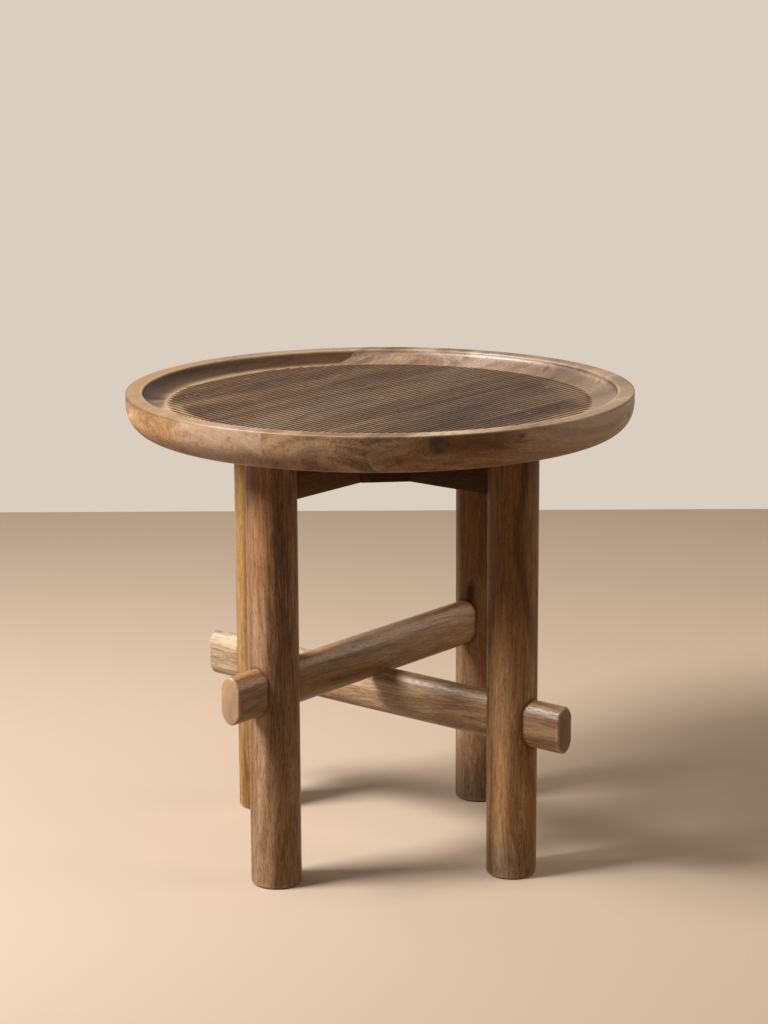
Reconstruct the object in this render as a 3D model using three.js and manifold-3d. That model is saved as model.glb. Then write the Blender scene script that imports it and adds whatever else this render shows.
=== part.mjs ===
// Low round table: a dished, fluted wooden tray on two crossing leg frames.
// Millimetres, +Z up, front towards -Y, origin on the ground under the middle of the tray.
// Each leg frame is two round legs, a rail whose pill-shaped ends pass right through the legs,
// and a batten under the tray. The upper frame slots down over the lower one.
import * as THREE from 'three';
import { mergeVertices } from 'three/addons/utils/BufferGeometryUtils.js';
import Module from 'manifold-3d';

// Driving dimensions of the table
const tableHeight = 474;
const trayDiameter = 508;
const legSpacing = 235;
const fitGap = 0.3;
const cutOverrun = 6;

// Tray
const trayThickness = 38;
const lipWidth = 17;
const recessDepth = 12;
const coveWidth = 25;
const sideHeight = 11;
const undersideReturn = 23;
const trayEdgeEase = 1.5;
const fluteSpacing = 6.35;
const fluteWidth = 4.2;
const fluteDepth = 1.5;
const fluteRunOut = 6;

// Legs
const legDiameter = 50;
const footEase = 3;

// Rails
const railDepth = 48;
const railThickness = 24;
const railEndEase = 2;
const tenonReach = 39;
const lowerRailCentre = 160;
const saddleDepth = 7;

// Battens under the tray and the blocks in their corners
const battenDepth = 50;
const battenThickness = 24;
const stubTenonLength = 20;
const stubTenonThickness = 10;
const stubTenonHeight = 34;
const cornerBlockLeg = 34.6;

// Screws that hold the tray, two in each arm of the battens
const screwShank = 4.5;
const screwHead = 9;
const screwHeadDepth = 3;
const screwPoint = 6;
const screwGrip = 24;
const screwBite = 16;
const driverHole = 11;
const screwPlaceShares = [0.28, 0.86];

// Facets round each curve
const traySides = 96;
const trayCurveSteps = 6;
const easeSteps = 2;
const fluteSteps = 4;
const legSides = 40;
const pillSteps = 9;
const screwSides = 12;

// Places worked out from the driving dimensions
const trayRadius = trayDiameter / 2;
const lipInnerRadius = trayRadius - lipWidth;
const floorRadius = lipInnerRadius - coveWidth;
const legRadius = legDiameter / 2;
const undersideHeight = tableHeight - trayThickness;
const frameTop = undersideHeight - fitGap;
const floorHeight = tableHeight - recessDepth;
const legReach = legSpacing * Math.SQRT1_2;
const railLength = 2 * (legReach + legRadius + tenonReach);
const upperRailCentre = lowerRailCentre + railDepth - saddleDepth;
const battenCentre = frameTop - battenDepth / 2;
const armStart = battenThickness / 2 + fitGap + cornerBlockLeg;
const armEnd = legReach - legRadius;
const screwPlaces = screwPlaceShares.map((share) => armStart + share * (armEnd - armStart));

// Solids: closed meshes that can be cut and joined
const wasm = await Module();
wasm.setup();

function solid(geometry) {
  const bare = geometry.clone();
  bare.deleteAttribute('normal');
  bare.deleteAttribute('uv');
  const merged = mergeVertices(bare);
  const corners = merged.index.array;
  const faces = [];
  for (let i = 0; i < corners.length; i += 3) {
    const [a, b, c] = [corners[i], corners[i + 1], corners[i + 2]];
    if (a !== b && b !== c && c !== a) faces.push(a, b, c);
  }
  return new wasm.Manifold(new wasm.Mesh({
    numProp: 3,
    vertProperties: Float32Array.from(merged.attributes.position.array),
    triVerts: Uint32Array.from(faces),
  }));
}

function surface(body) {
  const { vertProperties, triVerts } = body.getMesh();
  const geometry = new THREE.BufferGeometry();
  geometry.setAttribute('position', new THREE.BufferAttribute(vertProperties, 3));
  geometry.setIndex(new THREE.BufferAttribute(triVerts, 1));
  const faceted = geometry.toNonIndexed();
  faceted.computeVertexNormals();
  return faceted;
}

function bend(x, y, xRadius, yRadius, from, to, steps) {
  return new THREE.EllipseCurve(x, y, xRadius, yRadius, from, to, to < from).getPoints(steps);
}

function turned(profile, sides) {
  return new THREE.LatheGeometry(profile, sides).rotateX(Math.PI / 2);
}

function pillShape(width, height) {
  const radius = width / 2;
  const straight = height / 2 - radius;
  const shape = new THREE.Shape();
  shape.absarc(0, straight, radius, 0, Math.PI);
  shape.absarc(0, -straight, radius, Math.PI, 2 * Math.PI);
  return shape;
}

// An outline drawn across Y and up Z, drawn out along X about the middle
function drawnAlongX(shape, length, options) {
  const inner = length - 2 * (options.bevelEnabled ? options.bevelThickness : 0);
  const geometry = new THREE.ExtrudeGeometry(shape, { depth: inner, ...options });
  geometry.translate(0, 0, -inner / 2);
  return geometry.rotateX(Math.PI / 2).rotateZ(Math.PI / 2);
}

function block(length, width, height, x, y, z) {
  return solid(new THREE.BoxGeometry(length, width, height).translate(x, y, z));
}

function drilled(diameter, from, to, x) {
  const cylinder = new THREE.CylinderGeometry(diameter / 2, diameter / 2, to - from, screwSides);
  return solid(cylinder.rotateX(Math.PI / 2).translate(x, 0, (from + to) / 2));
}

// Wood and steel
function wood(colour) {
  return new THREE.MeshStandardMaterial({ color: colour, roughness: 0.5, metalness: 0 });
}

function steel() {
  return new THREE.MeshStandardMaterial({ color: 0x8a8781, roughness: 0.35, metalness: 1 });
}

function piece(name, geometry, material) {
  const mesh = new THREE.Mesh(geometry, material);
  mesh.name = name;
  return mesh;
}

// Tray: a turned disc with a flat lip, a cove down to a flat floor, and a bullnosed underside
function trayProfile() {
  const noseHeight = trayThickness - sideHeight;
  const noseStart = trayRadius - undersideReturn;
  const easeHeight = tableHeight - trayEdgeEase;
  return [
    new THREE.Vector2(0, undersideHeight),
    ...bend(noseStart, undersideHeight + noseHeight, undersideReturn, noseHeight,
      -Math.PI / 2, 0, trayCurveSteps),
    ...bend(trayRadius - trayEdgeEase, easeHeight, trayEdgeEase, trayEdgeEase,
      0, Math.PI / 2, easeSteps),
    ...bend(lipInnerRadius + trayEdgeEase, easeHeight, trayEdgeEase, trayEdgeEase,
      Math.PI / 2, Math.PI, easeSteps),
    ...bend(floorRadius, easeHeight, coveWidth, recessDepth - trayEdgeEase,
      0, -Math.PI / 2, trayCurveSteps).slice(1),
    new THREE.Vector2(0, floorHeight),
  ];
}

// One flute: a round-bottomed groove along X that rises out of the floor at both ends
function fluteCutter(halfLength) {
  const halfWidth = fluteWidth / 2;
  const radius = (halfWidth ** 2 + fluteDepth ** 2) / (2 * fluteDepth);
  const opening = Math.asin(halfWidth / radius);
  const outline = [
    new THREE.Vector2(halfWidth, cutOverrun),
    new THREE.Vector2(-halfWidth, cutOverrun),
    ...bend(0, radius - fluteDepth, radius, radius,
      -Math.PI / 2 - opening, -Math.PI / 2 + opening, fluteSteps),
  ];
  return drawnAlongX(new THREE.Shape(outline), 2 * halfLength, {
    bevelEnabled: true,
    bevelThickness: fluteRunOut,
    bevelSize: fluteDepth,
    bevelOffset: -fluteDepth,
    bevelSegments: 1,
  });
}

function trayTop() {
  let body = solid(turned(trayProfile(), traySides));
  for (let y = fluteSpacing / 2; y < floorRadius - fluteSpacing; y += fluteSpacing) {
    const halfLength = Math.sqrt(floorRadius ** 2 - y ** 2) + fluteRunOut / 2;
    for (const side of [-1, 1]) {
      const cutter = fluteCutter(halfLength).translate(0, side * y, floorHeight);
      body = body.subtract(solid(cutter));
    }
  }
  for (let turn = 0; turn < 4; turn += 1) {
    for (const x of screwPlaces) {
      const pilot = drilled(screwShank + 2 * fitGap, undersideHeight - cutOverrun,
        undersideHeight + screwBite + fitGap, x);
      body = body.subtract(pilot.rotate([0, 0, 90 * turn]));
    }
  }
  return body;
}

// Leg: a turned post, slotted right through for the rail and mortised for the batten's stub
// tenon. It is drawn with the middle of the table towards -X.
function leg(railCentre) {
  const profile = [
    new THREE.Vector2(0, 0),
    ...bend(legRadius - footEase, footEase, footEase, footEase, -Math.PI / 2, 0, easeSteps),
    new THREE.Vector2(legRadius, frameTop),
    new THREE.Vector2(0, frameTop),
  ];
  const slotShape = pillShape(railThickness + 2 * fitGap, railDepth + 2 * fitGap);
  const slot = drawnAlongX(slotShape, legDiameter + 2 * cutOverrun,
    { bevelEnabled: false, curveSegments: pillSteps });
  const mortiseLength = stubTenonLength + fitGap + cutOverrun;
  const mortise = block(mortiseLength, stubTenonThickness + 2 * fitGap, stubTenonHeight + 2 * fitGap,
    stubTenonLength + fitGap - legRadius - mortiseLength / 2, 0, battenCentre);
  return solid(turned(profile, legSides))
    .subtract(solid(slot.translate(0, 0, railCentre)))
    .subtract(mortise);
}

// Rail: pill section with eased ends that stand proud of the legs as through tenons
function rail() {
  const shape = pillShape(railThickness, railDepth);
  return solid(drawnAlongX(shape, railLength, {
    bevelEnabled: true,
    bevelThickness: railEndEase,
    bevelSize: railEndEase,
    bevelOffset: -railEndEase,
    bevelSegments: easeSteps,
    curveSegments: pillSteps,
  }));
}

// The upper rail is hollowed underneath to sit astride the lower one
function upperRail() {
  const saddleShape = pillShape(railThickness + 2 * fitGap, railDepth + 2 * fitGap);
  const saddle = drawnAlongX(saddleShape, railThickness + 2 * cutOverrun,
    { bevelEnabled: false, curveSegments: pillSteps });
  saddle.rotateZ(Math.PI / 2).translate(0, 0, lowerRailCentre - upperRailCentre);
  return rail().subtract(solid(saddle));
}

// Batten: coped to the round legs, with a stub tenon at each end, halved at the crossing and
// counterbored from below for the tray screws. lapSide is 1 where the lap takes the top half.
function batten(lapSide) {
  let body = block(2 * legReach, battenThickness, battenDepth, 0, 0, 0);
  for (const side of [-1, 1]) {
    const cope = new THREE.CylinderGeometry(legRadius + fitGap, legRadius + fitGap,
      battenDepth + 2 * cutOverrun, legSides);
    body = body.subtract(solid(cope.rotateX(Math.PI / 2).translate(side * legReach, 0, 0)));
    const tongueLength = stubTenonLength + legRadius;
    const tongueEnd = legReach - legRadius + stubTenonLength;
    body = body.add(block(tongueLength, stubTenonThickness, stubTenonHeight,
      side * (tongueEnd - tongueLength / 2), 0, 0));
    for (const x of screwPlaces) {
      body = body.subtract(drilled(screwShank + 2 * fitGap, -battenDepth, battenDepth, side * x));
      body = body.subtract(drilled(driverHole, -battenDepth,
        battenDepth / 2 - screwGrip, side * x));
    }
  }
  const lapWidth = battenThickness + 2 * fitGap;
  const lapHeight = battenDepth / 2 + cutOverrun;
  return body.subtract(block(lapWidth, battenThickness + 2 * cutOverrun, lapHeight, 0, 0,
    lapSide * (lapHeight - fitGap) / 2));
}

// Corner block: a glued triangle that stiffens the crossing of the battens
function cornerBlock() {
  const shape = new THREE.Shape();
  shape.moveTo(0, 0);
  shape.lineTo(cornerBlockLeg, 0);
  shape.lineTo(0, cornerBlockLeg);
  const geometry = new THREE.ExtrudeGeometry(shape, { depth: battenDepth, bevelEnabled: false });
  const corner = battenThickness / 2 + fitGap;
  return solid(geometry.translate(corner, corner, -battenDepth / 2));
}

// Tray screw: a flat round head that bears in the counterbore, and a pointed shank
function trayScrew() {
  const shankRadius = screwShank / 2;
  const headRadius = screwHead / 2;
  const shankTop = screwGrip + screwBite - fitGap;
  return solid(turned([
    new THREE.Vector2(0, -screwHeadDepth),
    new THREE.Vector2(headRadius - screwHeadDepth / 3, -screwHeadDepth),
    new THREE.Vector2(headRadius, -screwHeadDepth / 2),
    new THREE.Vector2(headRadius, 0),
    new THREE.Vector2(shankRadius, 0),
    new THREE.Vector2(shankRadius, shankTop - screwPoint),
    new THREE.Vector2(0, shankTop),
  ], screwSides));
}

// One leg frame, drawn along X: its two legs, rail, batten and tray screws
function legFrame(frame) {
  const group = new THREE.Group();
  frame.ends.forEach((end, i) => {
    const side = i === 0 ? -1 : 1;
    const post = piece(`leg_${end}`, surface(leg(frame.railCentre)), wood(frame.legColour));
    post.position.x = side * legReach;
    post.rotation.z = side < 0 ? Math.PI : 0;
    group.add(post);
    screwPlaces.forEach((x, k) => {
      const row = k === 0 ? 'inner' : 'outer';
      const screw = piece(`tray_screw_${end}_${row}`, surface(trayScrew()), steel());
      screw.position.set(side * x, 0, frameTop - screwGrip - fitGap);
      group.add(screw);
    });
  });
  const bar = piece(`${frame.name}_rail`, surface(frame.railBody), wood(frame.railColour));
  bar.position.z = frame.railCentre;
  const bearer = piece(`${frame.name}_batten`, surface(batten(frame.lapSide)), wood(0x7d5a3b));
  bearer.position.z = battenCentre;
  group.add(bar, bearer);
  group.rotation.z = frame.heading;
  return group;
}

// Assembly
const table = new THREE.Group();

const upperFrame = legFrame({
  name: 'upper',
  ends: ['front_left', 'rear_right'],
  heading: Math.PI / 4,
  railCentre: upperRailCentre,
  railBody: upperRail(),
  lapSide: -1,
  legColour: 0xa07a52,
  railColour: 0x9a7148,
});

const lowerFrame = legFrame({
  name: 'lower',
  ends: ['rear_left', 'front_right'],
  heading: -Math.PI / 4,
  railCentre: lowerRailCentre,
  railBody: rail(),
  lapSide: 1,
  legColour: 0x967049,
  railColour: 0xa57d54,
});

const tray = piece('tray_top', surface(trayTop()), wood(0xa67c56));
tray.rotation.z = Math.PI / 4;

const blocks = new THREE.Group();
['rear', 'left', 'front', 'right'].forEach((place, quarter) => {
  const wedge = piece(`corner_block_${place}`, surface(cornerBlock()), wood(0x7a5738));
  wedge.rotation.z = Math.PI / 4 + quarter * Math.PI / 2;
  blocks.add(wedge);
});
blocks.position.z = battenCentre;

table.add(upperFrame, lowerFrame, tray, blocks);

export default table;
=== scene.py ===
from math import asin, cos, pi, radians, sin, sqrt
from types import SimpleNamespace

import bmesh
import bpy
from mathutils import Euler, Matrix, Vector


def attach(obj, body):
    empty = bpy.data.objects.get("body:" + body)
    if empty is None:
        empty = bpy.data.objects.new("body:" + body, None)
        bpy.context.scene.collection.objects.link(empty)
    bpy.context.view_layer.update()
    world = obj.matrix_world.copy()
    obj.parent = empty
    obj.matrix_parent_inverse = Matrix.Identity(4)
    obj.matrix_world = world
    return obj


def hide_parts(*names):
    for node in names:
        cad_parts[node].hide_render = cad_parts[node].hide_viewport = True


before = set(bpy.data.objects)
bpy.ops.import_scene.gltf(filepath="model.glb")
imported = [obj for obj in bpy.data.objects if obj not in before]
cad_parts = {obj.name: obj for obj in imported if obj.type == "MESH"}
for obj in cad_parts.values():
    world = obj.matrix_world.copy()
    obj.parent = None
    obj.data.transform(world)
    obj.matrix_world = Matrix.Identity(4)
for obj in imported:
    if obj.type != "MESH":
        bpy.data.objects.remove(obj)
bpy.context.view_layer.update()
mm = 0.001


# Legs. Four posts turned from solid brown hardwood, with the grain upright and the foot eased
# so that it doesn't splinter. Each has a mortise right through it for the rail. They are the
# first pieces made, and carry everything else.
def quarter(across, up, x_radius, z_radius, start, end, steps):
    """Points along part of an ellipse in the XZ plane; angles in quarter turns."""
    turns = [start + (end - start) * i / steps for i in range(steps + 1)]
    return [(across + x_radius * cos(t * pi / 2), up + z_radius * sin(t * pi / 2)) for t in turns]


def lathe(profile, steps):
    """Turns an open profile of (radius, height) about the Z axis, closing it on the axis."""
    bm = bmesh.new()
    points = [bm.verts.new((x, 0, z)) for x, z in profile]
    edges = [bm.edges.new(pair) for pair in zip(points, points[1:])]
    bmesh.ops.spin(bm, geom=points + edges, cent=(0, 0, 0), axis=(0, 0, 1), dvec=(0, 0, 0),
                   angle=2 * pi, steps=steps, use_merge=True)
    bmesh.ops.remove_doubles(bm, verts=bm.verts, dist=1e-7)
    return bm


def rail_bar(length, ease, swell=0.0):
    """A bar along X: flat sides, and a top and bottom that fall off at a soft shoulder."""
    bm = bmesh.new()
    sides = 72
    bmesh.ops.create_circle(bm, cap_ends=True, radius=rail_thick / 2, segments=sides)
    bmesh.ops.rotate(bm, verts=bm.verts, matrix=Matrix.Rotation(pi / sides, 3, "Z"))
    for v in bm.verts:
        rise = asin(min(1, abs(v.co.y) / v.co.length)) / (pi / 2)
        v.co *= 1 - shoulder_fall * rise * (1 - rise) ** 2 + swell / (rail_thick / 2)
        v.co.y += (rail_high - rail_thick) / 2 * (1 if v.co.y > 0 else -1)
    bmesh.ops.rotate(bm, verts=bm.verts, matrix=Euler((pi / 2, 0, pi / 2)).to_matrix())
    bmesh.ops.translate(bm, verts=bm.verts, vec=(-length / 2, 0, 0))
    grown = bmesh.ops.extrude_face_region(bm, geom=bm.faces[:])["geom"]
    bmesh.ops.translate(bm, verts=[g for g in grown if isinstance(g, bmesh.types.BMVert)],
                        vec=(length, 0, 0))
    bmesh.ops.recalc_face_normals(bm, faces=bm.faces)
    if ease:
        rims = [e for e in bm.edges if abs(e.verts[0].co.x - e.verts[1].co.x) < 1e-6]
        bmesh.ops.bevel(bm, geom=rims, offset=ease, offset_type="OFFSET", affect="EDGES",
                        segments=4, profile=0.5, material=-1)
    return bm


def loose(bm, name):
    """Makes an object of a mesh, for a cut or for the studio."""
    mesh = bpy.data.meshes.new(name)
    bm.to_mesh(mesh)
    bm.free()
    thing = bpy.data.objects.new(name, mesh)
    bpy.context.scene.collection.objects.link(thing)
    return thing


def carve(bm, *cutters):
    """Cuts each cutter's solid out of the piece."""
    work = loose(bm, "work")
    tools = [loose(cutter, "tool") for cutter in cutters]
    for tool in tools:
        cut = work.modifiers.new("cut", "BOOLEAN")
        cut.operation = "DIFFERENCE"
        cut.solver = "EXACT"
        cut.object = tool
    bpy.context.view_layer.update()
    result = bpy.data.meshes.new_from_object(
        work.evaluated_get(bpy.context.evaluated_depsgraph_get()))
    carved = bmesh.new()
    carved.from_mesh(result)
    for thing in [work] + tools:
        mesh = thing.data
        bpy.data.objects.remove(thing)
        bpy.data.meshes.remove(mesh)
    bpy.data.meshes.remove(result)
    return carved


def fit_piece(bm, name, node, material):
    """Sets a finished piece in its place, in the stead of its solid."""
    crisp_angle = radians(32)
    mesh = bpy.data.meshes.new(name)
    bm.to_mesh(mesh)
    bm.free()
    mesh.materials.append(material)
    mesh.shade_smooth()
    mesh.set_sharp_from_angle(angle=crisp_angle)
    piece = bpy.data.objects.new(name, mesh)
    bpy.context.scene.collection.objects.link(piece)
    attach(piece, "root")
    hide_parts(node)


def shade(red, green, blue):
    """A colour given in screen values, as the shader wants it."""
    def linear(c):
        c /= 255
        return c / 12.92 if c <= 0.04045 else ((c + 0.055) / 1.055) ** 2.4
    return (linear(red), linear(green), linear(blue), 1)


class Surface:
    """One material and its nodes. On wood the turned X axis, in along, follows the grain."""

    def __init__(self, name, centre=(0, 0, 0), turn=(0, 0, 0)):
        self.material = bpy.data.materials.new(name)
        self.material.use_nodes = True
        self.tree = self.material.node_tree
        self.tree.nodes.clear()
        self.place = self.add("TexCoord").outputs["Object"]
        self.along = self.add("Mapping", {"Vector": self.place, "Location": centre,
                                          "Rotation": turn}, vector_type="TEXTURE").outputs[0]

    def add(self, kind, inputs=None, **settings):
        node = self.tree.nodes.new("ShaderNode" + kind)
        for key, value in settings.items():
            setattr(node, key, value)
        for key, value in (inputs or {}).items():
            if isinstance(value, bpy.types.NodeSocket):
                self.tree.links.new(value, node.inputs[key])
            else:
                node.inputs[key].default_value = value
        return node

    def math(self, operation, a, b=0.0, c=0.0):
        return self.add("Math", {0: a, 1: b, 2: c}, operation=operation).outputs[0]

    def vector(self, operation, a, b=(0, 0, 0)):
        node = self.add("VectorMath", {0: a, 1: b}, operation=operation)
        return node.outputs["Value" if operation in ("LENGTH", "DOT_PRODUCT", "DISTANCE") else 0]

    def scaled(self, a, factor):
        return self.add("VectorMath", {0: a, "Scale": factor}, operation="SCALE").outputs[0]

    def split(self, vector):
        return self.add("SeparateXYZ", {0: vector}).outputs

    def off(self, value, middle):
        """How far a value is from the middle one."""
        return self.math("ABSOLUTE", self.math("SUBTRACT", value, middle))

    def distance(self, a, b):
        """How far a point is from where both values are 0."""
        return self.math("SQRT", self.math("ADD", self.math("MULTIPLY", a, a),
                                           self.math("MULTIPLY", b, b)))

    def noise(self, vector, scales, seed, detail=3.0, rough=0.55, colour=False):
        stretched = self.vector("MULTIPLY", vector, scales)
        node = self.add("TexNoise", {"Vector": stretched, "W": seed, "Scale": 1.0,
                                     "Detail": detail, "Roughness": rough},
                        noise_dimensions="4D")
        return node.outputs[1 if colour else 0]

    def band(self, value, low, high, bottom=0.0, top=1.0):
        """Goes softly from bottom to top while the value goes from low to high."""
        return self.add("MapRange", {"Value": value, "From Min": low, "From Max": high,
                                     "To Min": bottom, "To Max": top},
                        interpolation_type="SMOOTHSTEP").outputs[0]

    def where(self, first, *others):
        """A mask, the product of others: each is a mask, a number or what band() is given."""
        mask = self.band(*first) if isinstance(first, tuple) else first
        for other in others:
            other = self.band(*other) if isinstance(other, tuple) else other
            mask = self.math("MULTIPLY", mask, other)
        return mask

    def mix(self, share, a, b, blend="MIX"):
        node = self.add("Mix", {0: share, 6: a, 7: b}, data_type="RGBA", blend_type=blend)
        return node.outputs[2]

    def tint(self, mask, colour, by):
        """Multiplies the colour where the mask is 1: below 1 stains it, above 1 pales it."""
        return self.mix(mask, colour, (*by, 1) if isinstance(by, tuple) else by, "MULTIPLY")

    def ramp(self, value, stops, interpolation="LINEAR"):
        node = self.add("ValToRGB", {"Fac": value})
        node.color_ramp.interpolation = interpolation
        elements = node.color_ramp.elements
        while len(elements) < len(stops):
            elements.new(0.5)
        for element, (place, colour) in zip(elements, stops):
            element.position = place
            element.color = colour
        return node.outputs[0]


def wood(name, centre, turn, seed, shades, pith=(0.06, 0.02), zones=1.5, streaks=0.5, fibres=1.0,
         knots=(), stagger=None, finish=None, edge_wear_and_highlight=None, shine=None, polish=0.1, rough=0.42,
         sheen=0.4, relief=0.4):
    """One board of oiled brown hardwood: growth rings round a heart, streaks, pores and knots.

    Noise scales are in waves per metre along, across and through the board. A knot is its
    place, size, darkness and how far it bends the grain.
    """
    dark, mid, light = shades
    g = Surface(name, centre, turn)
    middle = (0.5, 0.5, 0.5)

    # The grain wanders, steps from board to board, and bends round the knots.
    wander = g.vector("SUBTRACT", g.noise(g.along, (2.5, 6, 6), seed, 2.0, 0.5, True), middle)
    bent = g.vector("ADD", g.along, g.vector("MULTIPLY", wander, (0, 0.04, 0.04)))
    if stagger:
        bent = g.vector("ADD", bent, stagger(g))
    knot_dark, knot_rings = 0.0, 0.0
    for point, size, darkness, reach in knots:
        gap = g.add("Mapping", {"Vector": g.place, "Location": point, "Rotation": turn},
                    vector_type="TEXTURE").outputs[0]
        smear = g.vector("SUBTRACT", g.noise(gap, (60, 130, 130), seed + 1, 2.0, 0.5, True),
                         middle)
        away = g.vector("LENGTH", g.vector("ADD", g.vector("MULTIPLY", gap, (0.5, 1, 1)),
                                           g.scaled(smear, size * 1.6)))
        near = g.band(away, reach, size * 0.3)
        bent = g.vector("ADD", bent, g.scaled(gap, g.math("MULTIPLY", near, -0.7)))
        knot_dark = g.math("MAXIMUM", g.band(away, size, size * 0.2, 0.0, darkness), knot_dark)
        ripple = g.noise(g.add("CombineXYZ", {0: away}).outputs[0], (380, 1, 1), seed + size, 2.0)
        knot_rings = g.math("ADD", g.math("MULTIPLY", g.math("SUBTRACT", ripple, 0.5), near),
                            knot_rings)

    # Rings and streaks are laid round the heart, fibres, pores and blotches along the board.
    length, side, depth = g.split(g.vector("ADD", bent, (0, *pith)))
    ring = g.distance(side, depth)
    round_heart = g.math("MULTIPLY", g.math("ARCTAN2", depth, side), max(pith))
    grown = g.add("CombineXYZ", {0: length, 1: ring, 2: round_heart}).outputs[0]
    broad = g.noise(grown, (1.8, 55, 14), seed + 3, 3.0, 0.55)
    streak = g.noise(grown, (5, 190, 50), seed + 5, 4.0, 0.6)
    fibre = g.noise(bent, (40, 680, 680), seed + 7, 4.0, 0.65)
    cloud = g.noise(bent, (5, 18, 18), seed + 11, 3.0, 0.6)
    mottle = g.noise(bent, (45, 260, 260), seed + 17, 4.0, 0.65)
    pores = g.band(g.noise(bent, (190, 1100, 1100), seed + 13, 2.0, 0.6), 0.53, 0.65)
    vein = g.off(g.noise(grown, (3, 60, 22), seed + 19, 2.0), 0.5)
    vein = g.where((vein, 0.025, 0.003),
                   (g.noise(bent, (4, 16, 16), seed + 23, 2.0), 0.48, 0.60))
    tone = g.math("MULTIPLY_ADD", broad, zones, 0.5 - zones / 2)
    tone = g.math("ADD", tone, g.math("MULTIPLY_ADD", streak, streaks, -streaks / 2))
    tone = g.math("ADD", tone, g.math("MULTIPLY_ADD", fibre, fibres, -fibres / 2))
    if knots:
        tone = g.math("ADD", tone, g.math("MULTIPLY", knot_rings, 0.6))

    # Warm and cool patches lie over the three shades, then the pores, the dark veins, the
    # piece's own finish and its knots.
    colour = g.ramp(tone, [(0.2, dark), (0.5, mid), (0.8, light)])
    colour = g.tint(g.band(cloud, 0.50, 0.68, 0.0, 0.6), colour, (1.08, 0.96, 0.76))
    colour = g.tint(g.band(cloud, 0.48, 0.32, 0.0, 0.7), colour, (0.80, 0.89, 0.94))
    colour = g.tint(g.band(mottle, 0.53, 0.72, 0.0, 0.9), colour, (1.12, 0.97, 0.68))
    colour = g.tint(g.band(mottle, 0.47, 0.28, 0.0, 0.9), colour, (0.80, 0.88, 1.02))
    colour = g.tint(g.where(pores, 0.65), colour, (0.50, 0.40, 0.30))
    colour = g.tint(g.where(vein, 0.6), colour, (0.42, 0.33, 0.25))
    if finish:
        colour = finish(g, colour)
    if knots:
        colour = g.mix(knot_dark, colour, shade(40, 22, 10))

    # Pores are dull and sunk. Rubbed edges are pale and glossier; on the tray's outer arris
    # the pale edge is also a painted highlight.
    gloss = g.math("MULTIPLY_ADD", fibre, 0.22, rough - 0.11)
    gloss = g.math("ADD", gloss, g.math("MULTIPLY", pores, 0.15))
    if edge_wear_and_highlight:
        worn_and_highlit = edge_wear_and_highlight(g)
        colour = g.mix(g.where(worn_and_highlit, (streak, 0.35, 0.65, 0.2, 0.6)), colour, light)
        gloss = g.math("SUBTRACT", gloss, g.math("MULTIPLY", worn_and_highlit, polish))
    if shine:
        bright = shine(g)
        gloss = g.math("SUBTRACT", gloss, g.math("MULTIPLY", bright, 0.13))
        sheen = g.math("MULTIPLY_ADD", bright, 0.65, sheen)
    height = g.math("SUBTRACT", g.math("MULTIPLY", fibre, 0.6), g.math("MULTIPLY", pores, 0.8))
    height = g.math("ADD", height, g.math("MULTIPLY", streak, 0.5))
    bump = g.add("Bump", {"Strength": relief, "Distance": 0.3 * mm, "Height": height}).outputs[0]
    skin = g.add("BsdfPrincipled", {"Base Color": colour, "Roughness": gloss, "Normal": bump,
                                    "Specular IOR Level": sheen})
    g.tree.links.new(skin.outputs[0], g.add("OutputMaterial").inputs[0])
    return g.material


leg_radius, leg_spread, leg_top, foot_ease = 25 * mm, 117.5 * mm, 435.7 * mm, 3 * mm
leg_sides = 96
rail_thick, rail_high, shoulder_fall, slack = 24 * mm, 48 * mm, 0.60, 0.3 * mm
upper_rail_height, lower_rail_height = 201 * mm, 160 * mm


def bar_reach(g, aside, up):
    """How far out a point lies in a bar's section: half the thickness all round its skin."""
    over = g.math("SUBTRACT", g.math("ABSOLUTE", up), (rail_high - rail_thick) / 2)
    return g.distance(aside, g.math("MAXIMUM", over, 0.0))


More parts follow.
